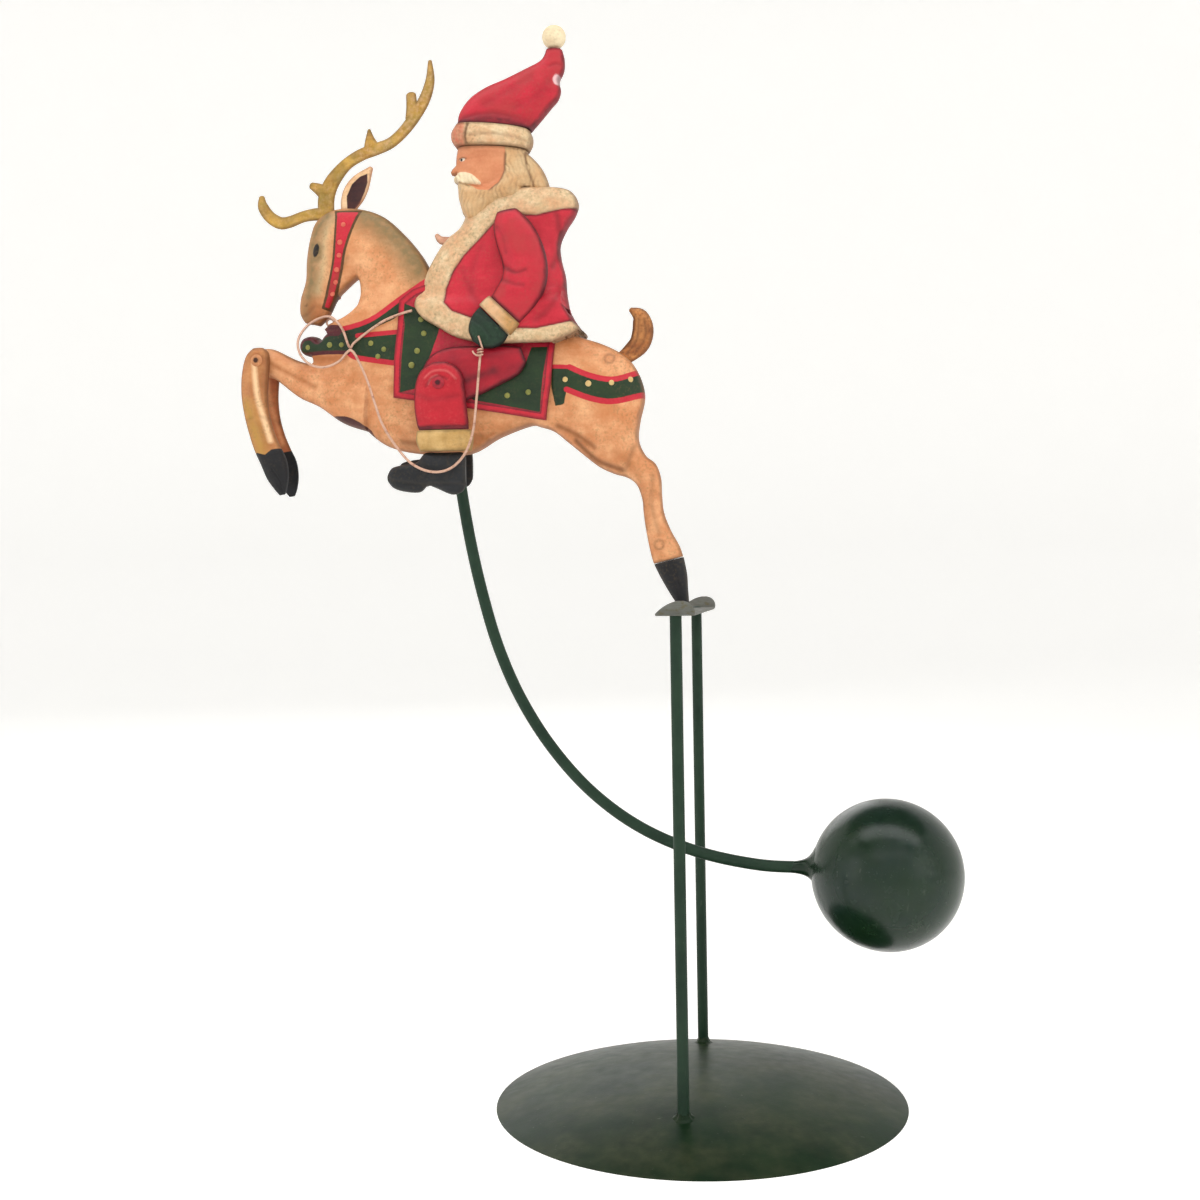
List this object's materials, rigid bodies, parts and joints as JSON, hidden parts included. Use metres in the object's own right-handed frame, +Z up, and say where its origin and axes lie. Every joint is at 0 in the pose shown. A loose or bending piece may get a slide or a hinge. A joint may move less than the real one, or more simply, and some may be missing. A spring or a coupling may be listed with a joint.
{
  "type": "balancing ornament",
  "caption": "Leaping deer with a rider that stands by a hoof on a small plate on a tall stand, balanced by a ball on a curved arm below.",
  "frame": {"origin": "middle of the base at the level of the table", "axes": "+X from the deer's nose towards the ball, +Y from the near side to the far side, +Z up"},
  "size_m": [0.2719, 0.154, 0.4074],
  "materials": {
    "green_paint": "satin dark green enamel",
    "plate_metal": "dull grey, worn",
    "hide_paint": "satin tan paint, antiqued",
    "hoof_paint": "satin black paint",
    "antler_paint": "satin old gold paint",
    "coat_paint": "satin red paint, antiqued",
    "fur_paint": "satin cream paint, antiqued",
    "skin_paint": "satin flesh paint",
    "cloth_paint": "satin green and red paint",
    "pompom_wood": "painted cream",
    "rein_metal": "copper coloured wire",
    "bare_steel": "plain steel"
  },
  "bodies": {
    "stand": {"base_dome": "green_paint", "front_upright": "green_paint", "rear_upright": "green_paint", "upright_welds": "green_paint", "pivot_plate": "plate_metal"},
    "swivel": {"pivot_bead": "bare_steel"},
    "figure": {"deer_near_shell": "hide_paint", "deer_far_shell": "hide_paint", "hind_hoof": "hoof_paint", "antler": "antler_paint", "ear": "hide_paint", "tail": "hide_paint", "saddle_cloth_near": "cloth_paint", "saddle_cloth_far": "cloth_paint", "coat_near": "coat_paint", "coat_far": "coat_paint", "beard_curl": "fur_paint", "head_near": "skin_paint", "head_far": "skin_paint", "hat_band_near": "fur_paint", "hat_band_far": "fur_paint", "hat_near": "coat_paint", "hat_far": "coat_paint", "pompom": "pompom_wood", "near_arm": "coat_paint", "far_arm": "coat_paint", "near_cuff": "fur_paint", "far_cuff": "fur_paint", "near_mitten": "cloth_paint", "far_mitten": "cloth_paint", "near_thigh": "coat_paint", "far_thigh": "coat_paint", "arm_block": "bare_steel", "counterweight_arm": "green_paint", "ball_upper_shell": "green_paint", "ball_lower_shell": "green_paint", "ballast_core": "bare_steel", "ball_collar": "green_paint", "rein_wire": "rein_metal", "bit_ring": "rein_metal", "deer_knee_rivet": "bare_steel", "near_knee_rivet": "bare_steel", "far_knee_rivet": "bare_steel"},
    "near_foreleg": {"near_foreleg": "hide_paint"},
    "far_foreleg": {"far_foreleg": "hide_paint"},
    "near_leg": {"near_shin": "coat_paint", "near_boot_cuff": "fur_paint", "near_boot": "hoof_paint"},
    "far_leg": {"far_shin": "coat_paint", "far_boot_cuff": "fur_paint", "far_boot": "hoof_paint"}
  },
  "joints": [
    {"name": "turn", "type": "hinge", "parent": "stand", "child": "swivel", "pos_m": [-0.0036, 0, 0.187], "axis": [0, 0, 1], "range_deg": [-45, 45]},
    {"name": "rock", "type": "hinge", "parent": "swivel", "child": "figure", "pos_m": [-0.0036, 0, 0.187], "axis": [0, 1, 0], "range_deg": [-15, 15]},
    {"name": "near_foreleg_swing", "type": "hinge", "parent": "figure", "child": "near_foreleg", "pos_m": [-0.1661, 0, 0.284], "axis": [0, 1, 0], "range_deg": [-35, 45]},
    {"name": "far_foreleg_swing", "type": "hinge", "parent": "figure", "child": "far_foreleg", "pos_m": [-0.1661, 0, 0.284], "axis": [0, 1, 0], "range_deg": [-35, 45]},
    {"name": "near_leg_swing", "type": "hinge", "parent": "figure", "child": "near_leg", "pos_m": [-0.0921, 0, 0.2717], "axis": [0, 1, 0], "range_deg": [-25, 20]},
    {"name": "far_leg_swing", "type": "hinge", "parent": "figure", "child": "far_leg", "pos_m": [-0.0966, 0, 0.2757], "axis": [0, 1, 0], "range_deg": [-25, 20]}
  ]
}
